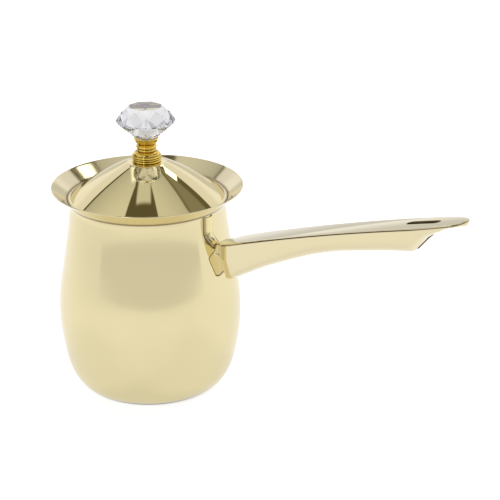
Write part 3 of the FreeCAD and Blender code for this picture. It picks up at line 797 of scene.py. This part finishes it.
def paper(name, tone, glow, over, foot=0.0, left=1.0):
    """Matte white sheet with a faint mottle, lit from below as a light table is. over
    brightens it where it is seen directly, as an exposure set for the pot does. Out to the
    radius foot from the pot's axis, a little beyond its foot, the glow is cut off: a painted contact shadow. left is
    how much of the light is left far out on the left and behind, in reflections."""
    mat, tree, shader = material(name)
    link = tree.links.new
    place = node(tree, "ShaderNodeTexCoord")
    mottle = node(tree, "ShaderNodeTexNoise", in_Scale=3.0)
    link(place.outputs["Object"], mottle.inputs["Vector"])
    path = node(tree, "ShaderNodeLightPath")
    gain = node(tree, "ShaderNodeMapRange")
    gain.inputs["To Min"].default_value = 1.0
    gain.inputs["To Max"].default_value = over
    link(path.outputs["Is Camera Ray"], gain.inputs["Value"])
    out = next(n for n in tree.nodes if n.type == "OUTPUT_MATERIAL")
    matte = node(tree, "ShaderNodeBsdfDiffuse")
    lit = node(tree, "ShaderNodeEmission")
    for level, target in ((tone, matte.inputs["Color"]), (glow, lit.inputs["Color"])):
        shade = node(tree, "ShaderNodeMix", data_type="RGBA")
        shade.inputs["A"].default_value = (level, level, level, 1.0)
        shade.inputs["B"].default_value = (level * 0.98, level * 0.98, level * 0.98, 1.0)
        link(mottle.outputs["Fac"], shade.inputs["Factor"])
        scaled = node(tree, "ShaderNodeVectorMath", operation="SCALE")
        link(shade.outputs["Result"], scaled.inputs[0])
        link(gain.outputs["Result"], scaled.inputs["Scale"])
        link(scaled.outputs["Vector"], target)
    # painted contact shadow: the floor's glow is cut off out to the radius foot around the pot
    if foot:
        flat = node(tree, "ShaderNodeVectorMath", operation="MULTIPLY")
        flat.inputs[1].default_value = (1.0, 1.0, 0.0)
        link(place.outputs["Object"], flat.inputs[0])
        reach = node(tree, "ShaderNodeVectorMath", operation="LENGTH")
        link(flat.outputs["Vector"], reach.inputs[0])
        clear = node(tree, "ShaderNodeMapRange", interpolation_type="SMOOTHSTEP")
        clear.inputs["From Min"].default_value = foot
        clear.inputs["From Max"].default_value = foot * 1.06
        link(reach.outputs["Value"], clear.inputs["Value"])
        along = node(tree, "ShaderNodeVectorMath", operation="DOT_PRODUCT")
        along.inputs[1].default_value = RIGHT
        link(place.outputs["Object"], along.inputs[0])
        fade = node(tree, "ShaderNodeMapRange", interpolation_type="SMOOTHSTEP")
        fade.inputs["From Min"].default_value = -0.60
        fade.inputs["From Max"].default_value = -0.12
        fade.inputs["To Min"].default_value = left
        link(along.outputs["Value"], fade.inputs["Value"])
        deep = node(tree, "ShaderNodeVectorMath", operation="DOT_PRODUCT")
        deep.inputs[1].default_value = AWAY
        link(place.outputs["Object"], deep.inputs[0])
        behind = node(tree, "ShaderNodeMapRange", interpolation_type="SMOOTHSTEP")
        behind.inputs["From Min"].default_value = 0.25
        behind.inputs["From Max"].default_value = 1.0
        behind.inputs["To Min"].default_value = 1.0
        behind.inputs["To Max"].default_value = left - 0.08
        link(deep.outputs["Value"], behind.inputs["Value"])
        far = node(tree, "ShaderNodeMath", operation="MULTIPLY")
        link(fade.outputs["Result"], far.inputs[0])
        link(behind.outputs["Result"], far.inputs[1])
        seen = node(tree, "ShaderNodeMath", operation="MAXIMUM")
        link(far.outputs["Value"], seen.inputs[0])
        link(path.outputs["Is Camera Ray"], seen.inputs[1])
        power = node(tree, "ShaderNodeMath", operation="MULTIPLY")
        link(clear.outputs["Result"], power.inputs[0])
        link(seen.outputs["Value"], power.inputs[1])
        link(power.outputs["Value"], lit.inputs["Strength"])
    total = node(tree, "ShaderNodeAddShader")
    link(matte.outputs["BSDF"], total.inputs[0])
    link(lit.outputs["Emission"], total.inputs[1])
    tree.nodes.remove(shader)
    link(total.outputs["Shader"], out.inputs["Surface"])
    return mat


floor = card("floor", [(-6, -6, 0), (6, -6, 0), (6, 6, 0), (-6, 6, 0)])
floor.data.materials.append(paper("floor_paper", 0.30, 0.68, 1.20, 0.0342, 0.82))
# the tent's open front, a duller stretch of floor seen only in reflections
fan = [math.radians(a) for a in np.linspace(-62, 74, 18)]
front = card(
    "front_opening",
    [(0.60 * math.sin(a), -0.60 * math.cos(a), 0.002) for a in fan]
    + [(5.0 * math.sin(a), -5.0 * math.cos(a), 0.002) for a in fan[::-1]],
)
front.data.materials.append(paper("front_floor", 0.02, 0.76, 1.0))
front.visible_camera = False
front.visible_shadow = False
front.visible_diffuse = False

# small lamp close above, on the right and behind, seen only in reflections
panel = card(
    "lamp_panel",
    [(0.070, 0.088, 0.268), (0.100, 0.092, 0.268), (0.106, 0.138, 0.268), (0.074, 0.134, 0.268)],
)
panel.data.materials.append(paper("lamp_paper", 0.02, 3.0, 1.0))
panel.visible_camera = False
panel.visible_shadow = False
panel.visible_diffuse = False

world = bpy.data.worlds.new("studio")
bpy.context.scene.world = world
world.use_nodes = True
wt = world.node_tree
bg = next(n for n in wt.nodes if n.type == "BACKGROUND")


def calc(op, *args):
    n = wt.nodes.new("ShaderNodeMath")
    n.operation = op
    for k, a in enumerate(args):
        if isinstance(a, (int, float)):
            n.inputs[k].default_value = a
        else:
            wt.links.new(a, n.inputs[k])
    return n.outputs[0]


def dot(vec, with_vec):
    n = wt.nodes.new("ShaderNodeVectorMath")
    n.operation = "DOT_PRODUCT"
    wt.links.new(vec, n.inputs[0])
    n.inputs[1].default_value = with_vec
    return n.outputs["Value"]


def step(x, edge, soft):
    """0 below the edge, 1 above it."""
    n = wt.nodes.new("ShaderNodeMapRange")
    n.interpolation_type = "SMOOTHSTEP"
    wt.links.new(x, n.inputs["Value"])
    n.inputs["From Min"].default_value = edge - soft
    n.inputs["From Max"].default_value = edge + soft
    return n.outputs["Result"]


def within(x, low, high, soft):
    return calc("MULTIPLY", step(x, low, soft), calc("SUBTRACT", 1.0, step(x, high, soft)))


def both(*parts):
    out = parts[0]
    for part in parts[1:]:
        out = calc("MULTIPLY", out, part)
    return out


def lay(under, over, share):
    """over laid on under where share is 1."""
    n = wt.nodes.new("ShaderNodeMix")
    n.data_type = "FLOAT"
    wt.links.new(share, n.inputs["Factor"])
    for k, a in ((2, under), (3, over)):
        if isinstance(a, (int, float)):
            n.inputs[k].default_value = a
        else:
            wt.links.new(a, n.inputs[k])
    return n.outputs[0]


way = wt.nodes.new("ShaderNodeTexCoord").outputs["Generated"]
wx, wy, wz = dot(way, RIGHT), dot(way, AWAY), dot(way, (0.0, 0.0, 1.0))
height = calc("DEGREES", calc("ARCSINE", wz))
bearing = calc("DEGREES", calc("ARCTAN2", wx, wy))
over_head = calc("MAXIMUM", wz, 0.05)
u, v = calc("DIVIDE", wx, over_head), calc("DIVIDE", wy, over_head)
slant = calc("ADD", u, v)
above = step(wz, 0.06, 0.03)


def off(share):
    return calc("SUBTRACT", 1.0, share)


# walls, and a dimmer roof that ends at the back edge v = 0.88
wall = lay(1.02, 0.89, step(height, 24.0, 4.0))
fall = calc("ADD", calc("MULTIPLY", calc("MAXIMUM", v, 0.0), 0.32), calc("MULTIPLY", calc("MAXIMUM", u, 0.0), 0.22))
roof = calc("SUBTRACT", 0.76, fall)
tone = lay(wall, roof, both(above, within(u, -1.25, 1.35, 0.03), within(v, -1.1, 0.88, 0.02)))
# open front above the floor
tone = lay(tone, 0.45, both(above, off(step(v, -1.1, 0.05))))
# dim foot of the back wall
tone = lay(tone, 0.70, both(within(height, 1.0, 16.0, 2.5), within(bearing, -24.0, 24.0, 3.0)))
# seam between the back wall and the roof, on the left
tone = lay(tone, 0.08, both(above, within(v, 0.80, 0.90, 0.015), within(u, -1.30, -0.55, 0.05)))
# gap beside the left wall
tone = lay(tone, 0.06, both(within(height, 0.0, 26.0, 1.5), within(bearing, -102.0, -55.0, 3.0)))
# gap in the roof on the right
gap = both(above, within(v, 0.22, 0.97, 0.02), step(slant, 0.83, 0.03), within(u, 0.24, 1.30, 0.03))
tone = lay(tone, lay(0.27, 0.14, step(v, 0.70, 0.06)), gap)
tone = lay(tone, 0.20, both(gap, off(step(slant, 0.925, 0.02))))
# bright band left of the slit
band = both(above, step(calc("ADD", u, calc("MULTIPLY", v, 0.45)), -0.187, 0.02), off(step(u, -0.25, 0.01)), within(v, 0.30, 0.85, 0.04))
tone = lay(tone, 1.25, band)
# slit in the roof, running to the open front
near_v = calc("MAXIMUM", calc("SUBTRACT", 0.22, v), 0.0)
left_edge = calc("ADD", u, calc("MULTIPLY", near_v, 0.36))
right_edge = calc("ADD", u, calc("MULTIPLY", v, 0.33))
slit = both(above, step(left_edge, -0.242, 0.01), off(step(right_edge, 0.122, 0.01)), within(v, -1.1, 0.45, 0.02))
tone = lay(tone, 0.12, slit)
tone = lay(tone, 0.68, both(above, within(u, -0.185, 0.045, 0.02), within(v, 0.0, 0.42, 0.03)))
# narrow lamp at the front, on the left
tone = lay(tone, 2.0, both(within(bearing, -160.0, -152.0, 1.0), within(height, 4.0, 60.0, 2.0)))
# the dark gaps are brownish, the white walls a little cold
warm = wt.nodes.new("ShaderNodeCombineColor")
lightness = step(tone, 0.28, 0.2)
cold = calc("MULTIPLY", step(tone, 0.84, 0.06), step(height, 12.0, 8.0))
wt.links.new(tone, warm.inputs["Red"])
wt.links.new(calc("MULTIPLY", tone, lay(0.86, 1.0, lightness)), warm.inputs["Green"])
wt.links.new(calc("MULTIPLY", tone, lay(0.50, lay(1.0, 1.13, cold), lightness)), warm.inputs["Blue"])
wt.links.new(warm.outputs["Color"], bg.inputs["Color"])
bg.inputs["Strength"].default_value = 1.0


def softbox(name, place, size, watts):
    data = bpy.data.lights.new(name, "AREA")
    data.shape = "SQUARE"
    data.size = size
    data.energy = watts
    obj = bpy.data.objects.new(name, data)
    bpy.context.scene.collection.objects.link(obj)
    obj.location = to_row(*place)
    obj.rotation_euler = (-obj.location).to_track_quat("-Z", "Y").to_euler()
    obj.visible_glossy = False
    obj.visible_transmission = False
    obj.visible_camera = False
    return obj


softbox("lamp_left", (-0.8, 0.8, 1.1), 0.5, 10.0)
softbox("lamp_right", (0.9, 0.5, 1.1), 0.6, 10.0)
softbox("lamp_front", (-0.9, -0.6, 0.9), 0.4, 3.0)

cam_data = bpy.data.cameras.new("camera")
cam = bpy.data.objects.new("camera", cam_data)
bpy.context.scene.collection.objects.link(cam)
cam_data.sensor_width = 36.0
cam_data.lens = 1472.04 / 500.0 * 36.0
cam_data.clip_start = 0.01
look = Vector((-0.59726, 0.71178, -0.36967)).normalized()
right = Vector((0.76604, 0.64279, 0.0)).normalized()
up = right.cross(look).normalized()
cam.matrix_world = Matrix(
    (
        (right.x, up.x, -look.x, 0.49846),
        (right.y, up.y, -look.y, -0.51230),
        (right.z, up.z, -look.z, 0.35563),
        (0, 0, 0, 1),
    )
)
bpy.context.scene.camera = cam
bpy.context.scene.view_settings.view_transform = "Standard"
